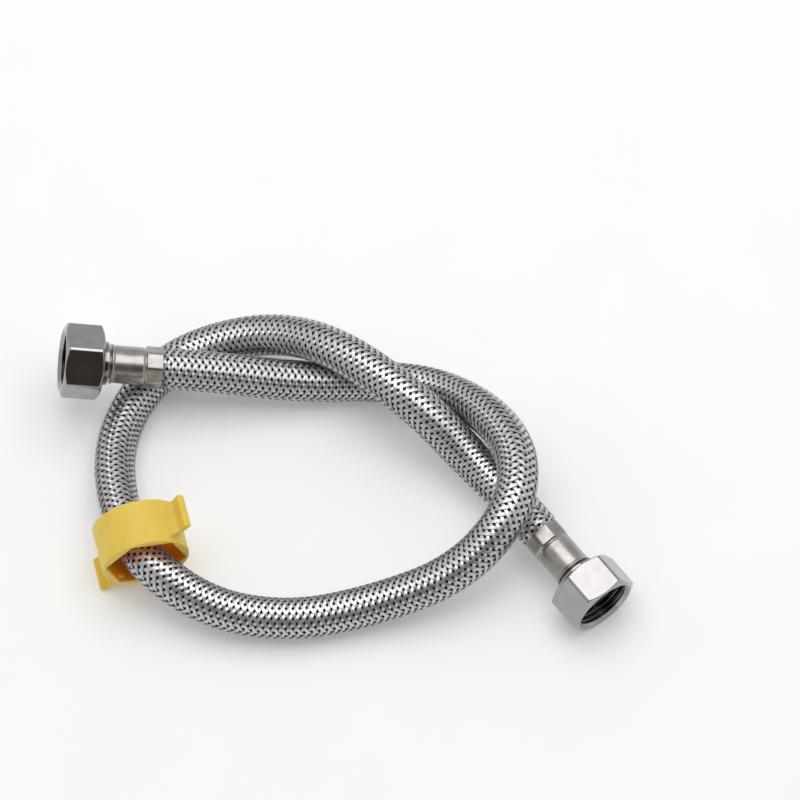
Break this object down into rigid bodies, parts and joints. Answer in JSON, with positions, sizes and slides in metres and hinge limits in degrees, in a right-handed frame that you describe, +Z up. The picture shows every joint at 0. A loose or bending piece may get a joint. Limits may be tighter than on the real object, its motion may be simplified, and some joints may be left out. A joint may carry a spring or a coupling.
{
  "type": "braided supply line",
  "caption": "Flexible braided hose with a crimped ferrule and a turning threaded coupling nut at each end, lying in a loose loop, with a hand spanner hanging on it.",
  "frame": {"origin": "on the bench, under the middle of the box round the end fittings and the hand spanner (the hose left out)", "axes": "+Z up from the bench; +X along the longest side of that box, from end A's side to end B's side; +Y away from the side where the front loop of hose lies"},
  "size_m": [0.1954, 0.1201, 0.0398],
  "materials": {
    "wire_braid": "bright stainless wire, woven",
    "tube_rubber": "matte black rubber",
    "ferrule_steel": "crimped stainless sheet",
    "nut_nickel": "nickel-plated brass, machined",
    "stem_nickel": "nickel-plated brass, turned",
    "gasket_rubber": "matte black rubber",
    "spanner_plastic": "moulded yellow plastic"
  },
  "bodies": {
    "hose_line": {"braid_sleeve": "wire_braid", "inner_tube": "tube_rubber", "ferrule_a": "ferrule_steel", "ferrule_b": "ferrule_steel", "stem_a": "stem_nickel", "stem_b": "stem_nickel", "gasket_a": "gasket_rubber", "gasket_b": "gasket_rubber"},
    "nut_a": {"coupling_nut_a": "nut_nickel"},
    "nut_b": {"coupling_nut_b": "nut_nickel"},
    "spanner": {"hand_spanner": "spanner_plastic"}
  },
  "joints": [
    {"name": "nut_a_turn", "type": "hinge", "parent": "hose_line", "child": "nut_a", "pos_m": [-0.08208, 0.04002, 0.02447], "axis": [-0.9798, -0.0137, 0.1994], "continuous": true},
    {"name": "nut_b_turn", "type": "hinge", "parent": "hose_line", "child": "nut_b", "pos_m": [0.07961, -0.03443, 0.0115], "axis": [0.6101, -0.7923, 0], "continuous": true},
    {"name": "spanner_turn", "type": "hinge", "parent": "hose_line", "child": "spanner", "pos_m": [-0.0677, -0.02413, 0.01805], "axis": [0.2521, -0.9677, 0], "continuous": true}
  ]
}
